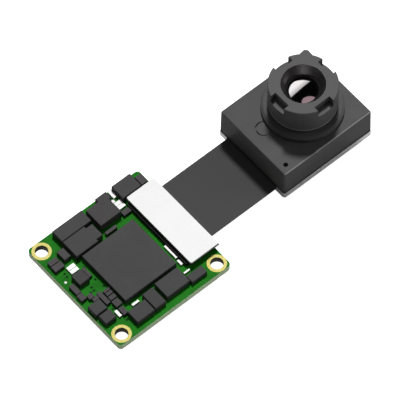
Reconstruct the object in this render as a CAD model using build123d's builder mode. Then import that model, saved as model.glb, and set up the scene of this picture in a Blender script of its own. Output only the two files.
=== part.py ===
from build123d import *
import math
import os

# A small thermal camera core: a square processor board, a flat flex and a camera head with its lens.
# X runs from the board to the head, Y across the flex and Z up, out of the lens.
# The origin is the middle of the board's underside, and all sizes are in millimetres.

# Processor board, as large as its hole pattern needs or the processor with the bays round it
hole_pitch = 18.0
hole_inset = 1.5
board_thickness = 1.2
board_corner = 0.6
processor_length = 9.6
processor_width = 9.8
processor_height = 1.0
left_bay = 5.1
front_bay = 4.86
back_bay = 6.34
socket_bay = 1.1
chip_bevel = 0.06

# Plated mounting holes, on three of the four corners
hole_diameter = 2.0
plating = 0.05
pad_diameter = 2.96

# Interface chip, which stands between the stiffener and the board's back edge
interface_length = 3.45
interface_width = 2.65
interface_height = 1.2
interface_inset = 0.205
stiffener_gap = 0.275

# Memory chip, with two of its corners cut back
memory_length = 5.2
memory_width = 3.2
memory_height = 1.2
memory_cut_length = 1.15
memory_cut_width = 0.4

# Power converter, the tallest block, with a narrow end towards the board's back edge
power_length = 3.86
power_width = 3.4
power_height = 1.5
power_end_length = 2.0
power_end_width = 0.64
power_end_shift = 1.33

# Small chips, in three heights
edge_chip_height = 0.6
capacitor_height = 0.55
ceramic_height = 0.35

# Connector between the board and the flex: a socket whose walls stand round the plug
socket_end_wall = 0.55
socket_side_wall = 1.0
socket_height = 0.65
socket_edge_gap = 0.5
socket_floor = 0.15
plug_length = 12.2
plug_width = 2.6
plug_rim = 0.2
mated_height = 0.8
fit_clearance = 0.05
contact_pitch = 0.5
contact_count = 22
contact_width = 0.2
contact_thickness = 0.12

# Host connector on the board's underside
host_length = 12.0
host_width = 2.8
host_height = 0.8
host_slot_width = 1.4
host_slot_depth = 0.6
host_place = -5.6

# Flex, with a widened end under its stiffener and another clamped in the head
flex_width = 11.1
flex_thickness = 0.2
flex_free_length = 13.02
flex_margin = 0.05
stiffener_length = 5.2
stiffener_thickness = 0.3
stiffener_overhang = 0.4
stiffener_corner = 0.25

# Camera head
head_length = 16.74
head_width = 14.3
head_height = 5.4
head_draft = 0.1
head_corner = 0.35
head_edge = 0.2
head_wall = 0.9
head_roof = 1.3
plate_thickness = 0.52
plate_ledge = 0.07
plate_bevel = 0.05
frame_height = 0.55
gasket_height = 0.5
collar_wall = 1.15
collar_height = 1.0
collar_bevel = 0.36
vent_inset = 1.28
vent_diameter = 0.74
vent_depth = 0.8
mark_diameter = 2.5
mark_core = 2.24
mark_shift = 0.09
mark_turn = -40.0
mark_depth = 0.3
mark_inset = 2.87
mark_offset = 0.9

# Lens, on an axis set forward of the head's middle
lens_offset = 1.26
lens_height = 6.3
barrel_radius = 5.2
barrel_depth = 8.3
barrel_bevel = 0.1
neck_step = 0.25
neck_top = 1.67
notch_count = 4
notch_width = 2.9
notch_depth = 1.4
notch_radius = 4.06
pointer_reach = 0.7
pointer_base = 1.75
pointer_tip = 0.62
mouth_radius = 3.35
mouth_depth = 1.62
front_bore = 2.65
front_ring_opening = 2.05
front_ring_height = 0.4
front_ring_slope = 0.3
front_lens_edge = 1.2
front_lens_curve = 60.0
stop_radius = 1.9
stop_thickness = 0.6
rear_bore = 3.4
rear_lens_edge = 1.2
rear_lens_curve = 9.0
rear_ring_opening = 2.7
rear_ring_height = 0.7

# Infrared sensor inside the head
package_length = 10.0
package_width = 8.6
package_height = 1.5
package_wall = 0.9
package_floor = 0.5
die_length = 6.6
die_width = 5.6
die_thickness = 0.4
window_thickness = 0.6
window_margin = 0.3

# Places worked out from the sizes
socket_length = plug_length + 2 * (fit_clearance + socket_end_wall)
socket_width = plug_width + 2 * (fit_clearance + socket_side_wall)
pattern_size = hole_pitch + 2 * hole_inset
board_length = max(
    pattern_size, left_bay + processor_length + socket_bay + socket_width + socket_edge_gap
)
board_width = max(pattern_size, front_bay + processor_width + back_bay)
left = -board_length / 2
right = board_length / 2
front = -board_width / 2
back = board_width / 2
hole_radius = hole_diameter / 2
drill_radius = hole_radius + plating
hole_reach = hole_pitch / 2
hole_places = [(-hole_reach, hole_reach), (-hole_reach, -hole_reach), (hole_reach, -hole_reach)]
processor_x = left + left_bay + processor_length / 2
processor_y = front + front_bay + processor_width / 2
interface_y = back - interface_inset - interface_width / 2
stiffener_width = head_width + 2 * head_draft
flex_axis = interface_y - interface_width / 2 - stiffener_gap - stiffener_width / 2
socket_x = right - socket_edge_gap - socket_width / 2
socket_side = socket_x - socket_width / 2
flex_bottom = board_thickness + mated_height
flex_top = flex_bottom + flex_thickness
stiffener_x = right + stiffener_overhang - stiffener_length / 2
head_side = right + flex_free_length
head_x = head_side + head_draft + head_length / 2
head_bottom_length = head_length + 2 * head_draft
head_bottom_width = stiffener_width
head_top = flex_top + head_height
roof_bottom = head_top - head_roof
plate_bottom = flex_bottom - plate_thickness
frame_top = flex_bottom + frame_height
gasket_top = frame_top + gasket_height
cavity_length = head_length - 2 * head_wall
cavity_width = head_width - 2 * head_wall
lens_x = head_x + lens_offset
lens_top = head_top + lens_height
barrel_bottom = lens_top - barrel_depth
neck_level = head_top + neck_top
neck_radius = barrel_radius - neck_step
collar_bore = neck_radius + fit_clearance
collar_radius = collar_bore + collar_wall
front_ring_top = lens_top - mouth_depth
front_lens_rim = front_ring_top - front_ring_height
front_lens_bottom = front_lens_rim - front_lens_edge
rear_lens_top = front_lens_bottom - stop_thickness
rear_lens_bottom = rear_lens_top - rear_lens_edge
rear_ring_bottom = rear_lens_bottom - rear_ring_height

os.makedirs("parts", exist_ok=True)


def save(piece, label):
    piece.label = label
    export_step(piece, f"parts/{label}.step")


def top_edges(body):
    return body.faces().sort_by(Axis.Z)[-1].edges()


def left_place(share):
    # A place across the left bay, from 0 at the board's edge to 1 at the processor
    return left + share * left_bay


def front_place(share):
    # A place across the front bay, from 0 at the board's edge to 1 at the processor
    return front + share * front_bay


def make_chip(label, x, y, length, width, height):
    # One moulded chip, standing on the board with its top edges broken
    with BuildPart() as chip:
        with BuildSketch(Plane.XY.offset(board_thickness)):
            with Locations((x, y)):
                Rectangle(length, width)
        extrude(amount=height)
        chamfer(top_edges(chip), length=chip_bevel)
    save(chip.part, label)


def make_small_chips(label, places, height):
    # Small chips of one kind, each its own solid: places holds x, y, length and width
    with BuildPart() as chips:
        for x, y, length, width in places:
            with BuildSketch(Plane.XY.offset(board_thickness)):
                with Locations((x, y)):
                    Rectangle(length, width)
            extrude(amount=height)
    save(chips.part, label)


# Board blank with drilled holes, and a shallow seat for each pad on both faces
with BuildPart() as circuit_board:
    with BuildSketch():
        RectangleRounded(board_length, board_width, board_corner)
        with Locations(*hole_places):
            Circle(drill_radius, mode=Mode.SUBTRACT)
    extrude(amount=board_thickness)
    for level in (0, board_thickness - plating):
        with BuildSketch(Plane.XY.offset(level)):
            with Locations(*hole_places):
                Circle(pad_diameter / 2)
        extrude(amount=plating, mode=Mode.SUBTRACT)
save(circuit_board.part, "circuit_board")

# Plating of the mounting holes: a pad on each face and the barrel between them
with BuildPart() as plated_holes:
    with BuildSketch():
        with Locations(*hole_places):
            Circle(drill_radius)
    extrude(amount=board_thickness)
    for level in (0, board_thickness - plating):
        with BuildSketch(Plane.XY.offset(level)):
            with Locations(*hole_places):
                Circle(pad_diameter / 2)
        extrude(amount=plating)
    with BuildSketch():
        with Locations(*hole_places):
            Circle(hole_radius)
    extrude(amount=board_thickness, mode=Mode.SUBTRACT)
save(plated_holes.part, "plated_holes")

# Large chips of the board
make_chip("processor_chip", processor_x, processor_y, processor_length, processor_width, processor_height)
make_chip("flash_chip", x=left + 7.15, y=back - 1.58, length=5.5, width=2.25, height=1.2)
make_chip("interface_chip", right - 3.47, interface_y, interface_length, interface_width, interface_height)
make_chip("clock_oscillator", x=right - 1.0, y=back - 1.95, length=1.1, width=1.65, height=1.0)
make_chip("power_inductor", x=left_place(0.53), y=back - 8.9, length=1.85, width=1.95, height=1.0)
make_chip("regulator_chip", x=left_place(0.275), y=front + 6.72, length=2.1, width=1.95, height=0.9)
make_chip("driver_chip", x=left_place(0.3), y=front + 4.63, length=1.9, width=1.68, height=0.9)
make_chip("sense_chip", x=left_place(0.667), y=back - 4.28, length=1.2, width=1.8, height=0.8)
make_chip("converter_chip", x=left + 5.74, y=front_place(0.442), length=3.2, width=2.3, height=1.0)
make_chip("filter_chip", x=left + 8.52, y=front_place(0.529), length=1.95, width=3.05, height=1.0)
make_chip("logic_chip", x=left + 12.18, y=front_place(0.591), length=4.25, width=2.95, height=1.0)
make_chip("supply_chip", x=right - 5.15, y=front_place(0.354), length=2.8, width=1.35, height=0.8)

# Memory chip
memory_x = left + 7.0
memory_y = back - 4.43
with BuildPart() as memory_chip:
    with BuildSketch(Plane.XY.offset(board_thickness)):
        with Locations((memory_x, memory_y)):
            Rectangle(memory_length, memory_width)
        with Locations((memory_x + memory_length / 2, memory_y)):
            with GridLocations(0, memory_width, 1, 2):
                Rectangle(2 * memory_cut_length, 2 * memory_cut_width, mode=Mode.SUBTRACT)
    extrude(amount=memory_height)
    chamfer(top_edges(memory_chip), length=chip_bevel)
save(memory_chip.part, "memory_chip")

# Power converter
power_x = left + 12.17
power_y = back - 2.78
with BuildPart() as power_converter:
    with BuildSketch(Plane.XY.offset(board_thickness)):
        with Locations((power_x, power_y)):
            Rectangle(power_length, power_width)
        with Locations((power_x + power_end_shift, power_y + power_width / 2)):
            Rectangle(power_end_length, 2 * power_end_width)
    extrude(amount=power_height)
    chamfer(top_edges(power_converter), length=chip_bevel)
save(power_converter.part, "power_converter")

# Small dark chips along the left edge
edge_places = [
    (left_place(0.29), back - 4.18, 1.55, 0.8),
    (left_place(0.294), back - 5.25, 1.7, 1.05),
    (left_place(0.186), back - 9.75, 0.8, 1.8),
    (left_place(0.167), front + 9.65, 0.9, 1.2),
]
make_small_chips("edge_chips", edge_places, edge_chip_height)

# Small dark chips beside the processor
capacitor_places = [
    (left_place(0.376), front + 8.95, 0.85, 0.8),
    (left_place(0.436), front + 8.15, 0.95, 0.56),
    (left_place(0.62), front + 7.52, 0.7, 2.4),
    (left_place(0.843), front + 8.22, 1.1, 0.45),
    (left_place(0.843), front + 7.61, 1.05, 0.52),
    (left_place(0.833), front + 6.81, 1.1, 0.72),
    (left_place(0.814), front + 5.67, 1.1, 1.15),
    (left_place(0.784), front + 4.07, 0.8, 1.35),
    (left_place(0.8), back - 8.66, 0.5, 1.75),
    (left + 11.3, back - 5.48, 2.0, 0.5),
    (socket_side - 0.83, back - 4.5, 1.35, 0.85),
]
make_small_chips("small_capacitors", capacitor_places, capacitor_height)

# White ceramic chips
ceramic_places = [
    (right - 5.6, back - 0.9, 0.6, 1.35),
    (socket_side - 1.13, back - 1.93, 0.45, 0.5),
    (socket_side - 0.7, back - 2.57, 1.2, 0.6),
    (socket_side - 0.7, back - 3.27, 1.2, 0.66),
    (left_place(0.582), back - 6.42, 1.35, 0.62),
    (left_place(0.582), back - 7.14, 1.35, 0.62),
    (socket_side - 0.25, front + 7.17, 0.3, 2.65),
    (socket_side - 0.38, front + 4.97, 0.35, 0.95),
    (socket_side - 0.58, front + 3.18, 1.05, 0.25),
    (left + 6.2, front_place(0.817), 1.2, 0.35),
    (left_place(0.622), front + 4.25, 0.45, 1.2),
]
make_small_chips("ceramic_chips", ceramic_places, ceramic_height)

# Socket on the board, a tray that the plug sits in
slot_floor = board_thickness + socket_floor
with BuildPart() as board_socket:
    with BuildSketch(Plane.XY.offset(board_thickness)):
        with Locations((socket_x, flex_axis)):
            RectangleRounded(socket_width, socket_length, stiffener_corner)
    extrude(amount=socket_height)
    with BuildSketch(Plane.XY.offset(slot_floor)):
        with Locations((socket_x, flex_axis)):
            Rectangle(plug_width + 2 * fit_clearance, plug_length + 2 * fit_clearance)
    extrude(amount=socket_height, mode=Mode.SUBTRACT)
save(board_socket.part, "board_socket")

# Plug under the flex: a wide rim above the socket's walls and a narrower body down in its slot
plug_bottom = slot_floor + contact_thickness + fit_clearance
rim_bottom = board_thickness + socket_height
with BuildPart() as flex_plug:
    with BuildSketch(Plane.XY.offset(plug_bottom)):
        with Locations((socket_x, flex_axis)):
            Rectangle(plug_width, plug_length)
    extrude(amount=flex_bottom - plug_bottom)
    with BuildSketch(Plane.XY.offset(rim_bottom)):
        with Locations((socket_x, flex_axis)):
            Rectangle(plug_width + 2 * plug_rim, plug_length + 2 * plug_rim)
    extrude(amount=flex_bottom - rim_bottom)
save(flex_plug.part, "flex_plug")

# Contacts on the slot's floor, in two rows under the plug
contact_length = plug_width / 2 - plug_rim
with BuildPart() as socket_contacts:
    with BuildSketch(Plane.XY.offset(slot_floor)):
        with Locations((socket_x, flex_axis)):
            with GridLocations(plug_width / 2, contact_pitch, 2, contact_count):
                Rectangle(contact_length, contact_width)
    extrude(amount=contact_thickness)
save(socket_contacts.part, "socket_contacts")

# Host connector under the board, with its slot open downwards
with BuildPart() as host_connector:
    with BuildSketch(Plane.XY.offset(-host_height)):
        with Locations((host_place, flex_axis)):
            RectangleRounded(host_width, host_length, stiffener_corner)
            Rectangle(host_slot_width, host_length - host_slot_width, mode=Mode.SUBTRACT)
    extrude(amount=host_slot_depth)
    with BuildSketch(Plane.XY.offset(host_slot_depth - host_height)):
        with Locations((host_place, flex_axis)):
            RectangleRounded(host_width, host_length, stiffener_corner)
    extrude(amount=host_height - host_slot_depth)
save(host_connector.part, "host_connector")

# Host contacts, set against the slot's two long walls
contact_row = host_slot_width - contact_thickness
contact_drop = host_slot_depth - fit_clearance
with BuildPart() as host_contacts:
    with BuildSketch(Plane.XY.offset(fit_clearance - host_height)):
        with Locations((host_place, flex_axis)):
            with GridLocations(contact_row, contact_pitch, 2, contact_count - 2):
                Rectangle(contact_thickness, contact_width)
    extrude(amount=contact_drop)
save(host_contacts.part, "host_contacts")

# Flex in one piece: the end under the stiffener, the free tail and the end inside the head
with BuildPart() as flex_cable:
    with BuildSketch(Plane.XY.offset(flex_bottom)):
        with Locations((stiffener_x, flex_axis)):
            Rectangle(stiffener_length + 2 * flex_margin, stiffener_width + 2 * flex_margin)
        with Locations(((stiffener_x + head_x) / 2, flex_axis)):
            Rectangle(head_x - stiffener_x, flex_width)
        with Locations((head_x, flex_axis)):
            Rectangle(cavity_length - 2 * fit_clearance, cavity_width - 2 * fit_clearance)
    extrude(amount=flex_thickness)
save(flex_cable.part, "flex_cable")

# White stiffener on the flex's end, over the connector
with BuildPart() as flex_stiffener:
    with BuildSketch(Plane.XY.offset(flex_top)):
        with Locations((stiffener_x, flex_axis)):
            RectangleRounded(stiffener_length, stiffener_width, stiffener_corner)
    extrude(amount=stiffener_thickness)
save(flex_stiffener.part, "flex_stiffener")

# The head stands on two pale layers, a little wider than the housing: a plate under the flex's end,
# then a frame round it that is open where the flex comes in
with BuildPart() as base_plate:
    with BuildSketch(Plane.XY.offset(plate_bottom)):
        with Locations((head_x, flex_axis)):
            RectangleRounded(
                head_bottom_length + 2 * plate_ledge,
                head_bottom_width + 2 * plate_ledge,
                head_corner + plate_ledge,
            )
    extrude(amount=plate_thickness)
    chamfer(top_edges(base_plate), length=plate_bevel)
save(base_plate.part, "base_plate")

with BuildPart() as head_frame:
    with BuildSketch(Plane.XY.offset(flex_bottom)):
        with Locations((head_x, flex_axis)):
            RectangleRounded(
                head_bottom_length + 2 * plate_ledge,
                head_bottom_width + 2 * plate_ledge,
                head_corner + plate_ledge,
            )
    extrude(amount=frame_height)
    chamfer(top_edges(head_frame), length=plate_bevel)
    with BuildSketch(Plane.XY.offset(flex_bottom)):
        with Locations((head_x, flex_axis)):
            Rectangle(cavity_length, cavity_width)
        with Locations(((head_side + head_x) / 2 - plate_ledge, flex_axis)):
            Rectangle(head_x - head_side, flex_width + 2 * fit_clearance)
    extrude(amount=frame_height, mode=Mode.SUBTRACT)
save(head_frame.part, "head_frame")

# Gasket between the frame and the housing, with a lip that comes down on the flex
with BuildPart() as head_gasket:
    with BuildSketch(Plane.XY.offset(frame_top)):
        with Locations((head_x, flex_axis)):
            RectangleRounded(head_bottom_length, head_bottom_width, head_corner)
            Rectangle(cavity_length, cavity_width, mode=Mode.SUBTRACT)
    extrude(amount=gasket_height)
    with BuildSketch(Plane.XY.offset(flex_top)):
        with Locations((head_side + (head_draft + head_wall) / 2, flex_axis)):
            Rectangle(head_draft + head_wall, flex_width)
    extrude(amount=frame_top - flex_top)
save(head_gasket.part, "head_gasket")

# Housing: a drafted box open below, with the lens collar on its roof
wall_height = head_top - gasket_top
draft_angle = math.degrees(math.atan2(head_draft, wall_height))
with BuildPart() as head_housing:
    with BuildSketch(Plane.XY.offset(gasket_top)):
        with Locations((head_x, flex_axis)):
            RectangleRounded(head_bottom_length, head_bottom_width, head_corner)
    extrude(amount=wall_height, taper=draft_angle)
    fillet(top_edges(head_housing), radius=head_edge)
    with BuildSketch(Plane.XY.offset(head_top)):
        with Locations((lens_x, flex_axis)):
            Circle(collar_radius)
    extrude(amount=collar_height)
    chamfer(top_edges(head_housing), length=collar_bevel)
    with BuildSketch(Plane.XY.offset(gasket_top)):
        with Locations((head_x, flex_axis)):
            Rectangle(cavity_length, cavity_width)
    extrude(amount=wall_height - head_roof, mode=Mode.SUBTRACT)
    with BuildSketch(Plane.XY.offset(roof_bottom)):
        with Locations((lens_x, flex_axis)):
            Circle(collar_bore)
    extrude(amount=head_roof + collar_height, mode=Mode.SUBTRACT)
    vent_x = head_x - head_length / 2 + vent_inset
    vent_y = flex_axis - head_width / 2 + vent_inset
    with BuildSketch(Plane.XY.offset(head_top)):
        with Locations((vent_x, vent_y)):
            Circle(vent_diameter / 2)
    extrude(amount=-vent_depth, mode=Mode.SUBTRACT)
    # A round mark beside the collar: a groove that is wide on one side and fine on the other
    mark_x = head_x - head_length / 2 + mark_inset
    mark_y = flex_axis + mark_offset
    core_x = mark_x + mark_shift * math.cos(math.radians(mark_turn))
    core_y = mark_y + mark_shift * math.sin(math.radians(mark_turn))
    with BuildSketch(Plane.XY.offset(head_top)):
        with Locations((mark_x, mark_y)):
            Circle(mark_diameter / 2)
        with Locations((core_x, core_y)):
            Circle(mark_core / 2, mode=Mode.SUBTRACT)
        with Locations((lens_x, flex_axis)):
            Circle(collar_radius, mode=Mode.SUBTRACT)
    extrude(amount=-mark_depth, mode=Mode.SUBTRACT)
save(head_housing.part, "head_housing")

# Sensor package: a ceramic tray on the flex, with the die on its floor and a window as its lid
die_bottom = flex_top + package_floor
with BuildPart() as sensor_package:
    with BuildSketch(Plane.XY.offset(flex_top)):
        with Locations((lens_x, flex_axis)):
            Rectangle(package_length, package_width)
    extrude(amount=package_height)
    with BuildSketch(Plane.XY.offset(die_bottom)):
        with Locations((lens_x, flex_axis)):
            Rectangle(package_length - 2 * package_wall, package_width - 2 * package_wall)
    extrude(amount=package_height, mode=Mode.SUBTRACT)
save(sensor_package.part, "sensor_package")

with BuildPart() as sensor_die:
    with BuildSketch(Plane.XY.offset(die_bottom)):
        with Locations((lens_x, flex_axis)):
            Rectangle(die_length, die_width)
    extrude(amount=die_thickness)
save(sensor_die.part, "sensor_die")

with BuildPart() as sensor_window:
    with BuildSketch(Plane.XY.offset(flex_top + package_height)):
        with Locations((lens_x, flex_axis)):
            Rectangle(package_length - 2 * window_margin, package_width - 2 * window_margin)
    extrude(amount=window_thickness)
    chamfer(top_edges(sensor_window), length=chip_bevel)
save(sensor_window.part, "sensor_window")

# The lens pieces are turned about one axis
lens_axis = Axis((lens_x, flex_axis, 0), (0, 0, 1))
lens_plane = Plane(origin=(lens_x, flex_axis, 0), x_dir=(1, 0, 0), z_dir=(0, -1, 0))

# Barrel: a turned body with a neck in the collar, a flared mouth and two lens seats
with BuildPart() as lens_barrel:
    with BuildSketch(lens_plane):
        with BuildLine():
            Polyline(
                (rear_bore, barrel_bottom),
                (neck_radius, barrel_bottom),
                (neck_radius, neck_level - neck_step),
                (barrel_radius, neck_level),
                (barrel_radius, lens_top - barrel_bevel),
                (barrel_radius - barrel_bevel, lens_top),
                (mouth_radius, lens_top),
                (front_bore, front_ring_top),
                (front_bore, front_lens_bottom),
                (stop_radius, front_lens_bottom),
                (stop_radius, rear_lens_top),
                (rear_bore, rear_lens_top),
                close=True,
            )
        make_face()
    revolve(axis=lens_axis)
    # Four square notches in the rim, for the tool that turns the barrel
    with BuildSketch(Plane.XY.offset(lens_top)):
        with Locations((lens_x, flex_axis)):
            with PolarLocations(notch_radius + barrel_radius / 2, notch_count):
                Rectangle(barrel_radius, notch_width)
    extrude(amount=-notch_depth, mode=Mode.SUBTRACT)
    # A pointed tooth on the lug between the +X and +Y notches marks the barrel's turn
    pointer_plane = Plane(
        origin=(lens_x, flex_axis, lens_top - notch_depth), x_dir=(1, 1, 0), z_dir=(0, 0, 1)
    )
    pointer_root = barrel_radius - pointer_reach
    with BuildSketch(pointer_plane):
        with BuildLine():
            Polyline(
                (pointer_root, -pointer_base / 2),
                (barrel_radius, -pointer_base / 2),
                (barrel_radius + pointer_reach, -pointer_tip / 2),
                (barrel_radius + pointer_reach, pointer_tip / 2),
                (barrel_radius, pointer_base / 2),
                (pointer_root, pointer_base / 2),
                close=True,
            )
        make_face()
    extrude(amount=notch_depth - barrel_bevel)
save(lens_barrel.part, "lens_barrel")

# Front lens: flat below, slightly domed above, with its dome touching the front ring's opening
front_lens_radius = front_bore - fit_clearance
front_dip = front_lens_curve - math.sqrt(front_lens_curve**2 - front_ring_opening**2)
front_drop = front_lens_curve - math.sqrt(front_lens_curve**2 - front_lens_radius**2)
front_crown = front_lens_rim + front_dip
with BuildPart() as front_lens:
    with BuildSketch(lens_plane):
        with BuildLine():
            Line((0, front_crown), (0, front_lens_bottom))
            Line((0, front_lens_bottom), (front_lens_radius, front_lens_bottom))
            Line((front_lens_radius, front_lens_bottom), (front_lens_radius, front_crown - front_drop))
            RadiusArc((0, front_crown), (front_lens_radius, front_crown - front_drop), front_lens_curve)
        make_face()
    revolve(axis=lens_axis)
save(front_lens.part, "front_lens")

with BuildPart() as front_lens_ring:
    with BuildSketch(lens_plane):
        with BuildLine():
            Polyline(
                (front_ring_opening, front_lens_rim),
                (front_lens_radius, front_lens_rim),
                (front_lens_radius, front_ring_top),
                (front_ring_opening + front_ring_slope, front_ring_top),
                close=True,
            )
        make_face()
    revolve(axis=lens_axis)
save(front_lens_ring.part, "front_lens_ring")

# Rear lens: flat above, domed below, held up by the rear ring
rear_lens_radius = rear_bore - fit_clearance
rear_dip = rear_lens_curve - math.sqrt(rear_lens_curve**2 - rear_ring_opening**2)
rear_drop = rear_lens_curve - math.sqrt(rear_lens_curve**2 - rear_lens_radius**2)
rear_crown = rear_lens_bottom - rear_dip
with BuildPart() as rear_lens:
    with BuildSketch(lens_plane):
        with BuildLine():
            Line((0, rear_crown), (0, rear_lens_top))
            Line((0, rear_lens_top), (rear_lens_radius, rear_lens_top))
            Line((rear_lens_radius, rear_lens_top), (rear_lens_radius, rear_crown + rear_drop))
            RadiusArc((rear_lens_radius, rear_crown + rear_drop), (0, rear_crown), rear_lens_curve)
        make_face()
    revolve(axis=lens_axis)
save(rear_lens.part, "rear_lens")

with BuildPart() as rear_lens_ring:
    with BuildSketch(lens_plane):
        with BuildLine():
            Polyline(
                (rear_ring_opening, rear_ring_bottom),
                (rear_lens_radius, rear_ring_bottom),
                (rear_lens_radius, rear_lens_bottom),
                (rear_ring_opening, rear_lens_bottom),
                close=True,
            )
        make_face()
    revolve(axis=lens_axis)
save(rear_lens_ring.part, "rear_lens_ring")
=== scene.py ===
import math

import bpy
from mathutils import Matrix, Vector


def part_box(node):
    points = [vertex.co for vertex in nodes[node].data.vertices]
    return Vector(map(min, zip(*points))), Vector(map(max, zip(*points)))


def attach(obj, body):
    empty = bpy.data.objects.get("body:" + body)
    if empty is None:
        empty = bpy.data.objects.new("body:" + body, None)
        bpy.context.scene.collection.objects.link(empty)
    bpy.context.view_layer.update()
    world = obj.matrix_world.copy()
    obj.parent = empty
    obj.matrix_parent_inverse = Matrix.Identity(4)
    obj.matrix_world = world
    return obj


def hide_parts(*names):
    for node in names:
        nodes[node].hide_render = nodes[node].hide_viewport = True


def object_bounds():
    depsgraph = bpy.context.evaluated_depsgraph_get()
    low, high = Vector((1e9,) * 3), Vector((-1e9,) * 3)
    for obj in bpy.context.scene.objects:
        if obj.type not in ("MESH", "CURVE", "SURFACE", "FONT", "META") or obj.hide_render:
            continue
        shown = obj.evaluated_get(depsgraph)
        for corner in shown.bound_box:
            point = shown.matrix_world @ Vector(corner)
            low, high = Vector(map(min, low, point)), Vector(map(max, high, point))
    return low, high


# A small thermal camera core: board, flex and camera head come from the CAD.
# Everything here is in metres, and sizes in millimetres are named and turned with MM.
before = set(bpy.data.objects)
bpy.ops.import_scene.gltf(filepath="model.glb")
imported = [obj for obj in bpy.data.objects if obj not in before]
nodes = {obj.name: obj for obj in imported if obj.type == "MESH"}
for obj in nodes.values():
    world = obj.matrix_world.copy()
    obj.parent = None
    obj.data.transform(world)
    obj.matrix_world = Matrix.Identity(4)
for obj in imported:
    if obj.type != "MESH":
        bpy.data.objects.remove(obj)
cad_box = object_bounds()

MM = 0.001


def linear(hex_colour):
    """An sRGB hex value as the linear colour that a shader reads."""
    shares = [int(hex_colour[place:place + 2], 16) / 255 for place in (1, 3, 5)]
    return [s / 12.92 if s <= 0.04045 else ((s + 0.055) / 1.055) ** 2.4 for s in shares] + [1.0]


def per_metre(size_mm):
    """The scale of a pattern whose features are that many millimetres across."""
    return 1 / (size_mm * MM)


# At a scale of 1 a wave texture goes through 20 radians in a metre
METRES_PER_RADIAN = 0.05


def wave_scale(pitch_mm):
    """The scale of a wave texture with that many millimetres from band to band."""
    return per_metre(pitch_mm) * METRES_PER_RADIAN * math.tau


def add_node(tree, kind, inputs=None, **settings):
    """Adds a node with its settings, its values and its links."""
    made = tree.nodes.new(kind)
    for name, value in settings.items():
        setattr(made, name, value)
    for key, value in (inputs or {}).items():
        socket = made.inputs[key]
        if isinstance(value, bpy.types.NodeSocket):
            tree.links.new(value, socket)
        else:
            socket.default_value = value
    return made


def in_scene(name, data):
    """A new object in the scene, at the origin."""
    made = bpy.data.objects.new(name, data)
    bpy.context.scene.collection.objects.link(made)
    return made


def start_finish(name):
    """A new material, its empty tree, and the place on the object that its patterns follow."""
    material = bpy.data.materials.new(name)
    material.use_nodes = True
    tree = material.node_tree
    tree.nodes.clear()
    return material, tree, add_node(tree, "ShaderNodeTexCoord").outputs["Object"]


def colour_stops(ramp, first, last):
    """Sets a colour ramp's two stops: each is its place and its sRGB hex value."""
    for element, (place, hex_colour) in zip(ramp.color_ramp.elements, (first, last)):
        element.position = place
        element.color = linear(hex_colour)
    return ramp.outputs["Color"]


def face_normal(tree):
    """The X, Y and Z of a face's own normal."""
    return add_node(tree, "ShaderNodeSeparateXYZ", {
        "Vector": add_node(tree, "ShaderNodeNewGeometry").outputs["True Normal"]}).outputs


def levelness(tree):
    """How level a face lies: 0 on an upright face and 1 on a level one."""
    return add_node(tree, "ShaderNodeMath", {0: face_normal(tree)["Z"]}, operation="ABSOLUTE").outputs[0]


def on_level_faces(tree):
    """1 on level faces and 0 on upright ones."""
    return add_node(tree, "ShaderNodeMath", {
        0: levelness(tree), 1: 0.5}, operation="GREATER_THAN").outputs[0]


def finish_with(tree, **inputs):
    """Ends a material's tree in its surface. Names are the shader's own, with _ for a space."""
    values = {key.replace("_", " "): value for key, value in inputs.items()}
    surface = add_node(tree, "ShaderNodeBsdfPrincipled", values)
    add_node(tree, "ShaderNodeOutputMaterial", {"Surface": surface.outputs["BSDF"]})


def surface_of(material):
    """The surface that a finish's tree ends in."""
    return next(node for node in material.node_tree.nodes if node.type == "BSDF_PRINCIPLED")


def give_finish(material, *names):
    """Puts a material on CAD nodes, in the slots that they have."""
    for name in names:
        for slot in nodes[name].material_slots:
            slot.material = material


# Nearly all of a noise lies between these two, and a finish's roughness varies with it by this much
NOISE_LOW = 0.3
NOISE_HIGH = 0.7
ROUGHNESS_VARIES = 0.05

# Two noises make a grainy finish's colour: its grain, and a drift that is this many times as coarse
DRIFT_SIZE = 14
TONE_LOW = 0.7
TONE_HIGH = 1.3
GRAIN_RELIEF = 0.3


def grainy_finish(name, dark, light, grain_mm, roughness, depth_mm, **inputs):
    """An even surface with fine grain in its colour and its relief.

    The real grains are a few hundredths of a millimetre wide. Here they are tenths, coarse enough to show.
    """
    material, tree, place = start_finish(name)
    grain = add_node(tree, "ShaderNodeTexNoise", {
        "Vector": place, "Scale": per_metre(grain_mm), "Detail": 4.0, "Roughness": 0.6})
    drift = add_node(tree, "ShaderNodeTexNoise", {
        "Vector": place, "Scale": per_metre(grain_mm * DRIFT_SIZE), "Detail": 2.0})
    tone = add_node(tree, "ShaderNodeMath", {
        0: grain.outputs["Fac"], 1: drift.outputs["Fac"]}, operation="ADD")
    ramp = add_node(tree, "ShaderNodeValToRGB", {"Fac": add_node(tree, "ShaderNodeMapRange", {
        "Value": tone.outputs[0], "From Min": TONE_LOW, "From Max": TONE_HIGH}).outputs["Result"]})
    colour = colour_stops(ramp, (0.0, dark), (1.0, light))
    matte = add_node(tree, "ShaderNodeMapRange", {
        "Value": grain.outputs["Fac"], "From Min": NOISE_LOW, "From Max": NOISE_HIGH,
        "To Min": roughness - ROUGHNESS_VARIES, "To Max": roughness + ROUGHNESS_VARIES})
    relief = add_node(tree, "ShaderNodeBump", {
        "Height": grain.outputs["Fac"], "Distance": depth_mm * MM, "Strength": GRAIN_RELIEF})
    finish_with(tree, Base_Color=colour, Roughness=matte.outputs["Result"],
                Normal=relief.outputs["Normal"], **inputs)
    return material


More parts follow.
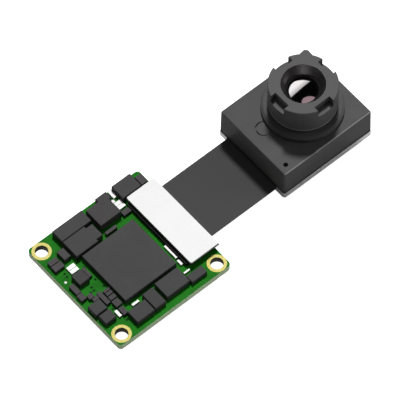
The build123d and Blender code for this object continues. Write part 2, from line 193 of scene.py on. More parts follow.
# Solder mask over a glass-fibre board: a deep satin green, lighter where copper runs under it,
# with the pale cut edge of the laminate showing its layers of glass cloth.
# Real tracks and layers are two or three times as fine, and wouldn't show.
TRACK_PITCH = 0.55
TRACK_SLOPE = (0.55, 0.7)
REGION_SIZE = 3.2
POURED_ABOVE = 0.45
CLOUD_SIZE = 1.6
COPPER_SHARE = 0.25
COPPER_HEIGHT = 0.005
LAYER_PITCH = 0.3
MASK_ROUGHNESS = 0.6
CUT_ROUGHNESS = 0.75


def masked_laminate():
    """The board's finish: each region has tracks along X or along Y, or is poured with copper."""
    material, tree, place = start_finish("solder_masked_glass_fibre")
    regions = add_node(tree, "ShaderNodeTexVoronoi", {
        "Vector": place, "Scale": per_metre(REGION_SIZE)}, distance="CHEBYCHEV")
    choice = add_node(tree, "ShaderNodeSeparateColor", {"Color": regions.outputs["Color"]})
    lines = [add_node(tree, "ShaderNodeTexWave", {
        "Vector": place, "Scale": wave_scale(TRACK_PITCH)}, bands_direction=direction).outputs["Fac"]
        for direction in ("X", "Y")]
    across = add_node(tree, "ShaderNodeMath", {
        0: choice.outputs["Red"], 1: 0.5}, operation="GREATER_THAN").outputs[0]
    track = add_node(tree, "ShaderNodeMix", {
        "Factor": across, "A": lines[0], "B": lines[1]}).outputs["Result"]
    copper = add_node(tree, "ShaderNodeMapRange", {
        "Value": track, "From Min": TRACK_SLOPE[0], "From Max": TRACK_SLOPE[1]}).outputs["Result"]
    poured = add_node(tree, "ShaderNodeMath", {
        0: choice.outputs["Green"], 1: POURED_ABOVE}, operation="GREATER_THAN").outputs[0]
    raised = add_node(tree, "ShaderNodeMath", {0: copper, 1: poured}, operation="MAXIMUM").outputs[0]
    cloud = add_node(tree, "ShaderNodeTexNoise", {
        "Vector": place, "Scale": per_metre(CLOUD_SIZE), "Detail": 3.0}).outputs["Fac"]
    tint = add_node(tree, "ShaderNodeMix", {
        "Factor": 1 - COPPER_SHARE, "A": raised, "B": cloud}).outputs["Result"]
    mask = colour_stops(add_node(tree, "ShaderNodeValToRGB", {"Fac": tint}),
                        (0.1, "#105608"), (0.9, "#187a12"))
    layers = add_node(tree, "ShaderNodeTexWave", {
        "Vector": place, "Scale": wave_scale(LAYER_PITCH), "Distortion": 1.5, "Detail": 2.0,
        "Detail Scale": 3.0}, bands_direction="Z").outputs["Fac"]
    edge = colour_stops(add_node(tree, "ShaderNodeValToRGB", {"Fac": layers}),
                        (0.0, "#b8d0a6"), (1.0, "#d3e6c2"))
    flat = on_level_faces(tree)
    colour = add_node(tree, "ShaderNodeMix", {
        "Factor": flat, "A": edge, "B": mask}, data_type="RGBA").outputs["Result"]
    gloss = add_node(tree, "ShaderNodeMapRange", {
        "Value": flat, "To Min": CUT_ROUGHNESS, "To Max": MASK_ROUGHNESS}).outputs["Result"]
    relief = add_node(tree, "ShaderNodeBump", {
        "Height": add_node(tree, "ShaderNodeMath", {
            0: raised, 1: flat}, operation="MULTIPLY").outputs[0],
        "Distance": COPPER_HEIGHT * MM, "Strength": 0.5})
    finish_with(tree, Base_Color=colour, Roughness=gloss, Normal=relief.outputs["Normal"], IOR=1.5,
                Specular_IOR_Level=0.06)
    return material


give_finish(masked_laminate(), "circuit_board")

# Immersion gold over copper: pale yellow and satin, with the fine pits of a plated surface.
# The plating on the walls of the holes is greyer.
PAD_GOLD = ("#b2a861", "#c4bd7d")
WALL_PLATING = ("#6e6c62", "#807e74")
PIT_SIZE = 0.25
PIT_DEPTH = 0.01
PLATING_ROUGHNESS = 0.7
plated_gold = grainy_finish("immersion_gold_plating", *PAD_GOLD, PIT_SIZE, PLATING_ROUGHNESS, PIT_DEPTH,
                            Metallic=1.0)
give_finish(plated_gold, "socket_contacts", "host_contacts")


def plated_hole():
    """The gold of the pads, and the grey of the walls of the holes."""
    material, tree, place = start_finish("plated_hole_gold_and_grey")
    pits = add_node(tree, "ShaderNodeTexNoise", {
        "Vector": place, "Scale": per_metre(PIT_SIZE), "Detail": 4.0}).outputs["Fac"]
    pad, wall = [
        colour_stops(add_node(tree, "ShaderNodeValToRGB", {"Fac": pits}),
                     (NOISE_LOW, dark), (NOISE_HIGH, light))
        for dark, light in (PAD_GOLD, WALL_PLATING)]
    level = on_level_faces(tree)
    colour = add_node(tree, "ShaderNodeMix", {
        "Factor": level, "A": wall, "B": pad}, data_type="RGBA").outputs["Result"]
    relief = add_node(tree, "ShaderNodeBump", {
        "Height": pits, "Distance": PIT_DEPTH * MM, "Strength": GRAIN_RELIEF})
    finish_with(tree, Base_Color=colour, Roughness=PLATING_ROUGHNESS, Metallic=level,
                Normal=relief.outputs["Normal"], IOR=1.5)
    return material


give_finish(plated_hole(), "plated_holes")

# Moulded epoxy: dark grey and matte, with the fine grain of its silica filler.
moulded_epoxy = grainy_finish("moulded_epoxy", "#323232", "#3a3a3a", grain_mm=0.3, roughness=0.8,
                              depth_mm=0.01, IOR=1.5)
give_finish(moulded_epoxy, "processor_chip", "flash_chip", "memory_chip", "interface_chip",
            "converter_chip", "logic_chip", "supply_chip", "driver_chip", "regulator_chip")

# Sintered ferrite: a touch warmer and coarser than the epoxy, as pressed powder is.
sintered_ferrite = grainy_finish("sintered_ferrite", "#312f30", "#393738", grain_mm=0.45, roughness=0.8,
                                 depth_mm=0.02, IOR=1.5)
give_finish(sintered_ferrite, "power_inductor", "filter_chip", "power_converter")

# Pressed ceramic bodies: dark, slightly violet grey with a soft shine.
pressed_ceramic = grainy_finish("pressed_dark_ceramic", "#343033", "#3c383b", grain_mm=0.2, roughness=0.75,
                                depth_mm=0.005, IOR=1.5)
give_finish(pressed_ceramic, "edge_chips", "small_capacitors", "sense_chip", "clock_oscillator")

# Glazed alumina: white, smooth and a little glossy.
glazed_alumina = grainy_finish("glazed_alumina", "#e0e0dd", "#e8e8e6", grain_mm=0.3, roughness=0.45,
                               depth_mm=0.005, IOR=1.5)
give_finish(glazed_alumina, "ceramic_chips")

# Moulded liquid crystal polymer: black and dull, with the faint flow grain of its moulding.
moulded_polymer = grainy_finish("moulded_black_polymer", "#141514", "#1a1c1a", grain_mm=0.35, roughness=0.75,
                                depth_mm=0.01, IOR=1.5, Specular_IOR_Level=0.15)
give_finish(moulded_polymer, "board_socket", "flex_plug", "host_connector")

# Laminated film: dark grey coverlay, satin, with copper lines that show faintly along it.
LINE_PITCH = 0.5
LINE_SLOPE = (0.35, 0.65)
LINE_SHARE = 0.1
LINE_HEIGHT = 0.001
FILM_GRAIN = 0.25


def laminated_film():
    """The flex's finish, with its lines along X."""
    material, tree, place = start_finish("laminated_dark_film")
    lines = add_node(tree, "ShaderNodeTexWave", {
        "Vector": place, "Scale": wave_scale(LINE_PITCH)}, bands_direction="Y").outputs["Fac"]
    copper = add_node(tree, "ShaderNodeMapRange", {
        "Value": lines, "From Min": LINE_SLOPE[0], "From Max": LINE_SLOPE[1]}).outputs["Result"]
    grain = add_node(tree, "ShaderNodeTexNoise", {
        "Vector": place, "Scale": per_metre(FILM_GRAIN), "Detail": 3.0}).outputs["Fac"]
    tone = add_node(tree, "ShaderNodeMix", {
        "Factor": 1 - LINE_SHARE, "A": copper, "B": grain}).outputs["Result"]
    colour = colour_stops(add_node(tree, "ShaderNodeValToRGB", {"Fac": tone}),
                          (0.1, "#424141"), (0.9, "#464545"))
    relief = add_node(tree, "ShaderNodeBump", {
        "Height": copper, "Distance": LINE_HEIGHT * MM, "Strength": 0.2})
    finish_with(tree, Base_Color=colour, Roughness=0.9, Normal=relief.outputs["Normal"], IOR=1.5,
                Specular_IOR_Level=0.25)
    return material


give_finish(laminated_film(), "flex_cable")

# Pressed white laminate: even, matte white with the faintest grain.
white_laminate = grainy_finish("pressed_white_laminate", "#e7e7e7", "#ededed", grain_mm=0.3, roughness=0.75,
                               depth_mm=0.01, IOR=1.5)
give_finish(white_laminate, "flex_stiffener")

# Rolled aluminium: pale grey with fine lines along the rolling direction, drawn coarse enough to show.
STREAK_WIDTH = 0.12
STREAK_DEPTH = 0.004
STREAK_STRETCH = (0.04, 1.0, 1.0)
ROLLED_ROUGHNESS = (0.42, 0.52)


def rolled_aluminium():
    """The pale layers' finish: a noise drawn out along X."""
    material, tree, place = start_finish("rolled_aluminium")
    drawn = add_node(tree, "ShaderNodeMapping", {
        "Vector": place, "Scale": STREAK_STRETCH}).outputs["Vector"]
    streaks = add_node(tree, "ShaderNodeTexNoise", {
        "Vector": drawn, "Scale": per_metre(STREAK_WIDTH), "Detail": 4.0}).outputs["Fac"]
    colour = colour_stops(add_node(tree, "ShaderNodeValToRGB", {"Fac": streaks}),
                          (NOISE_LOW, "#d8d8d8"), (NOISE_HIGH, "#e8e8e8"))
    gloss = add_node(tree, "ShaderNodeMapRange", {
        "Value": streaks, "From Min": NOISE_LOW, "From Max": NOISE_HIGH,
        "To Min": ROLLED_ROUGHNESS[0], "To Max": ROLLED_ROUGHNESS[1]})
    relief = add_node(tree, "ShaderNodeBump", {
        "Height": streaks, "Distance": STREAK_DEPTH * MM, "Strength": 0.4})
    finish_with(tree, Base_Color=colour, Roughness=gloss.outputs["Result"], Metallic=1.0,
                Normal=relief.outputs["Normal"])
    return material


give_finish(rolled_aluminium(), "base_plate", "head_frame")

# Moulded rubber: black and dull, with the soft grain of a moulding that was never polished.
moulded_rubber = grainy_finish("moulded_black_rubber", "#1f1f1f", "#272727", grain_mm=0.25, roughness=0.85,
                               depth_mm=0.01, IOR=1.5)
give_finish(moulded_rubber, "head_gasket")

# Powder coated aluminium: dark grey and fine-grained, with no shine to speak of.
# Its upright walls came out smoother than its top, so they mirror the floor a little.
WALL_COAT = 0.14
WALL_COAT_ROUGHNESS = 0.12
COAT_STARTS = 0.35
COAT_FULL = 0.15

# Along the front edge of its top only, a thin bright line is painted in as a highlight: its pale tone is
# painted light, and its metal also reflects the lamps.
# The line fades in as the rounding turns: the normal's Y tells it from the top, and its Z from the wall.
EDGE_HIGHLIGHT_TONE = "#b0b0b0"
EDGE_HIGHLIGHT_SHARE = 0.55
EDGE_ROUGHNESS = 0.4
EDGE_BAND = 0.6
TURNED_FROM_TOP = (-0.15, -0.25)
TURNED_FROM_WALL = (0.2, 0.3)


def smooth_walls(material):
    """Gives a finish's upright faces a thin smooth coat, and leaves its level faces dull."""
    tree = material.node_tree
    upright = add_node(tree, "ShaderNodeMapRange", {
        "Value": levelness(tree), "From Min": COAT_STARTS, "From Max": COAT_FULL, "To Max": WALL_COAT})
    surface = surface_of(material)
    tree.links.new(upright.outputs["Result"], surface.inputs["Coat Weight"])
    surface.inputs["Coat Roughness"].default_value = WALL_COAT_ROUGHNESS


def paint_highlight_tone(material, share, tone):
    """Mixes a tone into a finish's colour by a share: here, a painted highlight."""
    tree = material.node_tree
    base = surface_of(material).inputs["Base Color"]
    colour = add_node(tree, "ShaderNodeMix", {
        "Factor": share, "A": base.links[0].from_socket, "B": linear(tone)}, data_type="RGBA")
    tree.links.new(colour.outputs["Result"], base)


def painted_edge_highlight(material, edge_y):
    """Paints a highlight on the rounded edge near one place along Y, in metres: a pale line of glossy metal.
    """
    tree = material.node_tree
    place = add_node(tree, "ShaderNodeSeparateXYZ", {
        "Vector": add_node(tree, "ShaderNodeTexCoord").outputs["Object"]}).outputs["Y"]
    by_the_edge = add_node(tree, "ShaderNodeMath", {
        0: place, 1: edge_y + EDGE_BAND * MM}, operation="LESS_THAN").outputs[0]
    normal = face_normal(tree)
    off_the_top = add_node(tree, "ShaderNodeMapRange", {
        "Value": normal["Y"], "From Min": TURNED_FROM_TOP[0], "From Max": TURNED_FROM_TOP[1],
        "To Max": EDGE_HIGHLIGHT_SHARE})
    off_the_wall = add_node(tree, "ShaderNodeMapRange", {
        "Value": normal["Z"], "From Min": TURNED_FROM_WALL[0], "From Max": TURNED_FROM_WALL[1]})
    rounded = add_node(tree, "ShaderNodeMath", {
        0: off_the_top.outputs["Result"], 1: off_the_wall.outputs["Result"]},
        operation="MULTIPLY").outputs[0]
    edge_highlight = add_node(tree, "ShaderNodeMath", {0: rounded, 1: by_the_edge}, operation="MULTIPLY").outputs[0]
    # Painted highlight: the pale tone of the edge line
    paint_highlight_tone(material, edge_highlight, EDGE_HIGHLIGHT_TONE)
    surface = surface_of(material)
    gloss = add_node(tree, "ShaderNodeMix", {
        "Factor": edge_highlight, "A": surface.inputs["Roughness"].links[0].from_socket, "B": EDGE_ROUGHNESS})
    tree.links.new(gloss.outputs["Result"], surface.inputs["Roughness"])
    tree.links.new(edge_highlight, surface.inputs["Metallic"])


coated_aluminium = grainy_finish("fine_powder_coat", "#444444", "#4b4b4b", grain_mm=0.28, roughness=0.82,
                                 depth_mm=0.012, IOR=1.5)
smooth_walls(coated_aluminium)
# A painted highlight along the housing's front top edge
painted_edge_highlight(coated_aluminium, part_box("head_housing")[0].y)
give_finish(coated_aluminium, "head_housing")

# Turned and anodised aluminium: dark grey, with the cutter's rings round the lens axis, which are drawn
# coarser than the real ones to show. The mouth is cut with a finer tool and has a satin shine.
TURNING_PITCH = 0.2
TURNING_DEPTH = 0.006
TURNED_GRAIN = 0.25
MOUTH_RADIUS = 3.35
MOUTH_FADES = 0.02
MOUTH_POLISH = 1.0
MOUTH_ROUGHNESS = 0.4
MOUTH_TONE = "#8e8c8c"

# A painted highlight: a narrow pale band at the barrel's foot, just above the bevel at the step to its neck
BARREL_FOOT = 9.37
FOOT_BAND = 0.14
FOOT_HIGHLIGHT_TONE = "#b4b4b4"
FOOT_HIGHLIGHT_SHARE = 0.6

lens_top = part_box("lens_barrel")[1].z
glass_low, glass_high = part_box("front_lens")
lens_x = (glass_low.x + glass_high.x) / 2
lens_y = (glass_low.y + glass_high.y) / 2


def turned_anodised(name, dark, light, roughness, polish=0.0, **inputs):
    """A turned finish round the lens axis: polish is how bright its mouth is, from 0 to 1."""
    material, tree, place = start_finish(name)
    centred = add_node(tree, "ShaderNodeMapping", {
        "Vector": place, "Location": (-lens_x, -lens_y, 0)}).outputs["Vector"]
    away = add_node(tree, "ShaderNodeSeparateXYZ", {"Vector": centred}).outputs
    sideways = add_node(tree, "ShaderNodeCombineXYZ", {
        "X": away["X"], "Y": away["Y"]}).outputs["Vector"]
    radius = add_node(tree, "ShaderNodeVectorMath", {0: sideways}, operation="LENGTH").outputs["Value"]
    run = add_node(tree, "ShaderNodeMath", {0: radius, 1: away["Z"]}, operation="ADD")
    cut = add_node(tree, "ShaderNodeCombineXYZ", {"X": run.outputs[0]}).outputs["Vector"]
    rings = add_node(tree, "ShaderNodeTexNoise", {
        "Vector": cut, "Scale": per_metre(TURNING_PITCH), "Detail": 3.0}).outputs["Fac"]
    grain = add_node(tree, "ShaderNodeTexNoise", {
        "Vector": place, "Scale": per_metre(TURNED_GRAIN), "Detail": 3.0}).outputs["Fac"]
    tone = add_node(tree, "ShaderNodeMix", {"Factor": 0.5, "A": rings, "B": grain})
    colour = colour_stops(add_node(tree, "ShaderNodeValToRGB", {"Fac": tone.outputs["Result"]}),
                          (NOISE_LOW, dark), (NOISE_HIGH, light))
    satin = add_node(tree, "ShaderNodeMapRange", {
        "Value": radius, "From Min": (MOUTH_RADIUS + MOUTH_FADES) * MM,
        "From Max": (MOUTH_RADIUS - MOUTH_FADES) * MM, "To Max": polish}).outputs["Result"]
    dull = add_node(tree, "ShaderNodeMapRange", {
        "Value": rings, "From Min": NOISE_LOW, "From Max": NOISE_HIGH,
        "To Min": roughness - ROUGHNESS_VARIES, "To Max": roughness + ROUGHNESS_VARIES}).outputs["Result"]
    gloss = add_node(tree, "ShaderNodeMix", {"Factor": satin, "A": dull, "B": MOUTH_ROUGHNESS})
    shade = add_node(tree, "ShaderNodeMix", {
        "Factor": satin, "A": colour, "B": linear(MOUTH_TONE)}, data_type="RGBA").outputs["Result"]
    relief = add_node(tree, "ShaderNodeBump", {
        "Height": rings, "Distance": TURNING_DEPTH * MM, "Strength": 0.4})
    finish_with(tree, Base_Color=shade, Roughness=gloss.outputs["Result"], Metallic=satin,
                Normal=relief.outputs["Normal"], IOR=1.5, **inputs)
    return material


def painted_foot_highlight(material):
    """Paints a highlight into a finish: a narrow pale band at the barrel's foot."""
    tree = material.node_tree
    level = add_node(tree, "ShaderNodeSeparateXYZ", {
        "Vector": add_node(tree, "ShaderNodeTexCoord").outputs["Object"]}).outputs["Z"]
    in_band = add_node(tree, "ShaderNodeMath", {
        0: level, 1: (BARREL_FOOT + FOOT_BAND / 2) * MM, 2: FOOT_BAND / 2 * MM},
        operation="COMPARE").outputs[0]
    pale = add_node(tree, "ShaderNodeMath", {0: in_band, 1: FOOT_HIGHLIGHT_SHARE}, operation="MULTIPLY").outputs[0]
    # Painted highlight: the pale tone of the foot band
    paint_highlight_tone(material, pale, FOOT_HIGHLIGHT_TONE)


barrel_finish = turned_anodised("turned_anodised_aluminium", "#434242", "#4b4a4a", roughness=0.72,
                                polish=MOUTH_POLISH)
# A painted highlight round the barrel's foot
painted_foot_highlight(barrel_finish)
give_finish(barrel_finish, "lens_barrel")

# Turned and blackened aluminium: nearly black and dull, so that no light strays from the rings.
blackened_rings = turned_anodised("blackened_aluminium", "#070606", "#0c0b0b", roughness=0.7,
                                  Specular_IOR_Level=0.1)
give_finish(blackened_rings, "front_lens_ring", "rear_lens_ring")

# Coated infrared glass: nearly black to the eye, with a strong, slightly mauve reflection.
POLISH_SIZE = 0.8
POLISHED_ROUGHNESS = (0.01, 0.03)


def polished_crystal(name, body, tint, index):
    """A polished dark surface: the tint is that of its reflection, and the index is its own."""
    material, tree, place = start_finish(name)
    polish = add_node(tree, "ShaderNodeTexNoise", {
        "Vector": place, "Scale": per_metre(POLISH_SIZE), "Detail": 2.0}).outputs["Fac"]
    gloss = add_node(tree, "ShaderNodeMapRange", {
        "Value": polish, "From Min": NOISE_LOW, "From Max": NOISE_HIGH,
        "To Min": POLISHED_ROUGHNESS[0], "To Max": POLISHED_ROUGHNESS[1]})
    finish_with(tree, Base_Color=linear(body), Roughness=gloss.outputs["Result"], IOR=index,
                Specular_Tint=linear(tint))
    return material


infrared_glass = polished_crystal("coated_infrared_glass", "#030202", "#fffafb", index=4.0)
give_finish(infrared_glass, "rear_lens")

# The front lens again, with a crown so finely divided that its mirror image has clean edges
CROWN_RADIUS = 60.0
CROWN_RINGS = 16
CROWN_SEGMENTS = 96


def polished_lens():
    """A lens of the CAD lens's size: a crown of rings, an upright rim and a flat back."""
    rim = (glass_high.x - glass_low.x) / 2
    crown = CROWN_RADIUS * MM
    reaches = [rim * ring / CROWN_RINGS for ring in range(1, CROWN_RINGS + 1)]
    rings = [(reach, glass_high.z - crown + math.sqrt(crown ** 2 - reach ** 2)) for reach in reaches]
    rings.append((rim, glass_low.z))
    angles = [math.tau * step / CROWN_SEGMENTS for step in range(CROWN_SEGMENTS)]
    points = [(lens_x, lens_y, glass_high.z)]
    for reach, level in rings:
        points += [(lens_x + reach * math.cos(angle), lens_y + reach * math.sin(angle), level)
                   for angle in angles]
    sides = [(step, (step + 1) % CROWN_SEGMENTS) for step in range(CROWN_SEGMENTS)]
    faces = [(0, 1 + step, 1 + after) for step, after in sides]
    for ring in range(CROWN_RINGS):
        inner = 1 + ring * CROWN_SEGMENTS
        outer = inner + CROWN_SEGMENTS
        faces += [(inner + step, outer + step, outer + after, inner + after) for step, after in sides]
    last_ring = 1 + CROWN_RINGS * CROWN_SEGMENTS
    faces.append([last_ring + step for step in reversed(range(CROWN_SEGMENTS))])
    mesh = bpy.data.meshes.new("polished_front_lens")
    mesh.from_pydata(points, [], faces)
    for number, face in enumerate(mesh.polygons):
        face.use_smooth = number < CROWN_RINGS * CROWN_SEGMENTS
    mesh.materials.append(infrared_glass)
    lens = in_scene("polished_front_lens", mesh)
    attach(lens, "root")
    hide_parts("front_lens")
    return lens


front_lens = polished_lens()

# The sensor, hidden under the lens: a polished window, a pressed ceramic package and the polished die on it
give_finish(polished_crystal("polished_silicon_window", "#1a1a1e", "#f2f2ff", index=3.4), "sensor_window")
give_finish(grainy_finish("pressed_package_ceramic", "#3f3a36", "#4a443f", grain_mm=0.3, roughness=0.6,
                          depth_mm=0.01, IOR=1.7), "sensor_package")
give_finish(grainy_finish("polished_silicon", "#34343c", "#3d3d46", grain_mm=0.5, roughness=0.2,
                          depth_mm=0.001, IOR=3.4), "sensor_die")


def start_maker(name, **kinds):
    """A Geometry Nodes tree with an input of each kind, its inputs' identifiers and their values."""
    tree = bpy.data.node_groups.new(name, "GeometryNodeTree")
    keys = {}
    for key, kind in kinds.items():
        socket = tree.interface.new_socket(key, in_out="INPUT", socket_type="NodeSocket" + kind)
        keys[key] = socket.identifier
    tree.interface.new_socket("made", in_out="OUTPUT", socket_type="NodeSocketGeometry")
    return tree, keys, add_node(tree, "NodeGroupInput").outputs


def end_maker(tree, geometry, finish):
    """Ends a Geometry Nodes tree in plain geometry with its finish."""
    real = add_node(tree, "GeometryNodeRealizeInstances", {"Geometry": geometry}).outputs["Geometry"]
    done = add_node(tree, "GeometryNodeSetMaterial", {
        "Geometry": real, "Material": finish}).outputs["Geometry"]
    add_node(tree, "NodeGroupOutput", {"made": done})


def made_by(tree, keys, name, points, values):
    """A plain mesh piece that a Geometry Nodes tree makes on some points, from named values."""
    mesh = bpy.data.meshes.new(name + "_points")
    mesh.from_pydata(points, [], [])
    piece = in_scene(name, mesh)
    modifier = piece.modifiers.new("maker", "NODES")
    modifier.node_group = tree
    for key, value in values.items():
        modifier[keys[key]] = value
    graph = bpy.context.evaluated_depsgraph_get()
    plain = bpy.data.meshes.new_from_object(piece.evaluated_get(graph))
    piece.modifiers.clear()
    piece.data = plain
    plain.name = name
    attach(piece, "root")


def raised_pads_tree():
    """The tree of the small pads and dots: it stands a low cone, round or four-sided, on each point.

    A cone on a point of the board's underside is turned over.
    """
    tree, keys, given = start_maker(
        "raised_pads", points="Geometry", sides="Int", foot="Float", top="Float", height="Float",
        turn="Vector", stretch="Vector", middle="Float", finish="Material")
    cone = add_node(tree, "GeometryNodeMeshCone", {
        "Vertices": given["sides"], "Radius Top": given["top"], "Radius Bottom": given["foot"],
        "Depth": given["height"]}).outputs["Mesh"]
    turned = add_node(tree, "GeometryNodeTransform", {
        "Geometry": cone, "Rotation": given["turn"]}).outputs["Geometry"]
    stretched = add_node(tree, "GeometryNodeTransform", {
        "Geometry": turned, "Scale": given["stretch"]}).outputs["Geometry"]
    place = add_node(tree, "GeometryNodeInputPosition").outputs["Position"]
    level = add_node(tree, "ShaderNodeSeparateXYZ", {"Vector": place}).outputs["Z"]
    below = add_node(tree, "ShaderNodeMath", {
        0: level, 1: given["middle"]}, operation="LESS_THAN").outputs[0]
    half_turn = add_node(tree, "ShaderNodeMath", {
        0: below, 1: math.pi}, operation="MULTIPLY").outputs[0]
    over = add_node(tree, "ShaderNodeCombineXYZ", {"X": half_turn}).outputs["Vector"]
    stood = add_node(tree, "GeometryNodeInstanceOnPoints", {
        "Points": given["points"], "Instance": stretched, "Rotation": over}).outputs["Instances"]
    end_maker(tree, stood, given["finish"])
    return tree, keys


ROUND_SIDES = 20
pads_tree, pad_keys = raised_pads_tree()
board_low, board_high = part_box("circuit_board")
board_foot = board_low.z / MM
board_top = board_high.z / MM


def raised_pads(name, places, foot, top, height, finish, sides=ROUND_SIDES, turn=0.0,
                stretch=(1.0, 1.0)):
    """Small pads on the board: places and sizes are in millimetres."""
    points = [tuple(value * MM for value in place) for place in places]
    values = {
        "sides": sides, "foot": foot * MM, "top": top * MM, "height": height * MM,
        "turn": (0.0, 0.0, turn), "stretch": (*stretch, 1.0),
        "middle": (board_low.z + board_high.z) / 2, "finish": finish,
    }
    made_by(pads_tree, pad_keys, name, points, values)


# Vias go right through the board, so each shows a masked land and its drilled middle on both faces.
# Copper under the mask is a darker, even green, and the drilled middle is painted nearly black as the shade
# down the hole.
VIA_PLACES = (
    (-8.87, 3.92), (-8.94, 3.32), (-6.08, 0.33), (-7.37, -0.33), (-7.42, -0.95), (-7.96, -0.92),
    (-5.86, -1.29), (-7.33, -5.06), (-6.93, -5.41), (-9.86, -4.54), (-8.26, -6.55), (-6.92, -7.74),
    (-6.91, -6.73), (-6.00, 2.90), (-4.97, -6.10),
)
through_places = [(x, y, level) for x, y in VIA_PLACES for level in (board_foot, board_top)]
masked_copper = grainy_finish("masked_copper_land", "#04480a", "#085810", grain_mm=0.2, roughness=0.6,
                              depth_mm=0.004, Specular_IOR_Level=0.1)
# Painted shade: the via's nearly black middle stands in for the shade in the hole
painted_hole_shade = grainy_finish("painted_hole_shade", "#030603", "#060c06", grain_mm=0.1, roughness=0.8,
                              depth_mm=0.004, Specular_IOR_Level=0.1)
raised_pads("via_lands", through_places, foot=0.24, top=0.2, height=0.02, finish=masked_copper)
raised_pads("via_holes", through_places, foot=0.15, top=0.13, height=0.026, finish=painted_hole_shade)

# Two small white reference dots on the top face
DOT_PLACES = ((-9.68, 2.72), (-1.56, 5.05))
raised_pads("reference_dots", [(x, y, board_top) for x, y in DOT_PLACES],
            foot=0.2, top=0.16, height=0.03, finish=glazed_alumina)

# Test pads, guessed, on the hidden face
TEST_ROWS = (-4.5, -2.7, -0.9, 0.9)
TEST_COLUMNS = (1.2, 3.0, 4.8)
raised_pads("test_pads", [(x, y, board_foot) for x in TEST_COLUMNS for y in TEST_ROWS],
            foot=0.5, top=0.48, height=0.02, finish=plated_gold, sides=28)

# The host connector's solder tails, guessed, along both of its sides on the hidden face.
# Tinned copper: pale, bright metal with a soft shine.
TAIL_PITCH = 0.5
TAIL_COUNT = 20
tinned_copper = grainy_finish("tinned_copper", "#e4e4e2", "#f4f4f2", grain_mm=0.15, roughness=0.5,
                              depth_mm=0.004, Metallic=1.0)
contacts_low, contacts_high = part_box("host_contacts")
connector_low, connector_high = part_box("host_connector")
tail_middle = (contacts_low.y + contacts_high.y) / 2 / MM
tail_places = [(side / MM, tail_middle + (number - (TAIL_COUNT - 1) / 2) * TAIL_PITCH, board_foot)
               for side in (connector_low.x, connector_high.x) for number in range(TAIL_COUNT)]
raised_pads("host_tails", tail_places, foot=0.16, top=0.13, height=0.06, finish=tinned_copper,
            sides=4, turn=math.pi / 4, stretch=(3.2, 1.0))

# The fine thread that shows between the collar and the barrel
NECK_RADIUS = 4.95
NECK_BOTTOM = 8.64
NECK_TOP = 9.0
THREAD_TURNS = 3.0
THREAD_CREST = 0.055
STEPS_PER_TURN = 96
RIDGE_SIDES = 6


def thread_tree():
    """The tree of a thread: a fine six-sided ridge along a helix."""
    tree, keys, given = start_maker(
        "neck_thread", radius="Float", turns="Float", rise="Float", crest="Float", start="Vector",
        finish="Material")
    helix = add_node(tree, "GeometryNodeCurveSpiral", {
        "Resolution": STEPS_PER_TURN, "Rotations": given["turns"], "Start Radius": given["radius"],
        "End Radius": given["radius"], "Height": given["rise"]}).outputs["Curve"]
    profile = add_node(tree, "GeometryNodeCurvePrimitiveCircle", {
        "Resolution": RIDGE_SIDES, "Radius": given["crest"]}).outputs["Curve"]
    ridge = add_node(tree, "GeometryNodeCurveToMesh", {
        "Curve": helix, "Profile Curve": profile, "Fill Caps": True}).outputs["Mesh"]
    placed = add_node(tree, "GeometryNodeTransform", {
        "Geometry": ridge, "Translation": given["start"]}).outputs["Geometry"]
    end_maker(tree, placed, given["finish"])
    return tree, keys


neck_tree, neck_keys = thread_tree()
neck_values = {
    "radius": NECK_RADIUS * MM, "turns": THREAD_TURNS, "rise": (NECK_TOP - NECK_BOTTOM) * MM,
    "crest": THREAD_CREST * MM, "start": (lens_x, lens_y, NECK_BOTTOM * MM), "finish": barrel_finish,
}
made_by(neck_tree, neck_keys, "neck_thread", [(0, 0, 0)], neck_values)

# The floor: a matt white sweep. The camera alone sees it glow, so it stays white in the object's shade.
FLOOR_SIZE = 4.0
FLOOR_GLOW = 1.0
FIBRE_SIZE = 2.0


def lit_white_sweep():
    """The floor's finish: diffuse paper for the light on it, and an added glow for the camera alone."""
    material, tree, place = start_finish("lit_white_sweep")
    fibre = add_node(tree, "ShaderNodeTexNoise", {
        "Vector": place, "Scale": per_metre(FIBRE_SIZE), "Detail": 2.0}).outputs["Fac"]
    colour = colour_stops(add_node(tree, "ShaderNodeValToRGB", {"Fac": fibre}),
                          (NOISE_LOW, "#c4c4c4"), (NOISE_HIGH, "#cacaca"))
    paper = add_node(tree, "ShaderNodeBsdfDiffuse", {"Color": colour}).outputs["BSDF"]
    unlit, lit = [add_node(tree, "ShaderNodeEmission", {"Strength": strength}).outputs["Emission"]
                  for strength in (0.0, FLOOR_GLOW)]
    seen = add_node(tree, "ShaderNodeLightPath").outputs["Is Camera Ray"]
    glow = add_node(tree, "ShaderNodeMixShader", {"Fac": seen, 1: unlit, 2: lit}).outputs["Shader"]
    surface = add_node(tree, "ShaderNodeAddShader", {0: paper, 1: glow}).outputs["Shader"]
    add_node(tree, "ShaderNodeOutputMaterial", {"Surface": surface})
    return material


half = FLOOR_SIZE / 2
floor_corners = ((-half, -half), (half, -half), (half, half), (-half, half))
floor_mesh = bpy.data.meshes.new("white_sweep")
floor_mesh.from_pydata([(x, y, cad_box[0].z) for x, y in floor_corners], [], [(0, 1, 2, 3)])
floor_mesh.materials.append(lit_white_sweep())
floor = in_scene("white_sweep", floor_mesh)

# Camera: the photograph's view, fitted to the board's edges and holes
VIEW_AZIMUTH = math.radians(-40.506)
VIEW_ELEVATION = math.radians(58.95)
VIEW_DISTANCE = 735.447 * MM
VIEW_TARGET = Vector((20.0, -0.275, 1.2)) * MM
VIEW_SHIFT = (5.138 * MM, 2.649 * MM)
VIEW_CLIP = (0.05, 10.0)
FOCAL_PIXELS = 5037.63
PHOTO_PIXELS = 400
SENSOR_WIDTH = 36.0

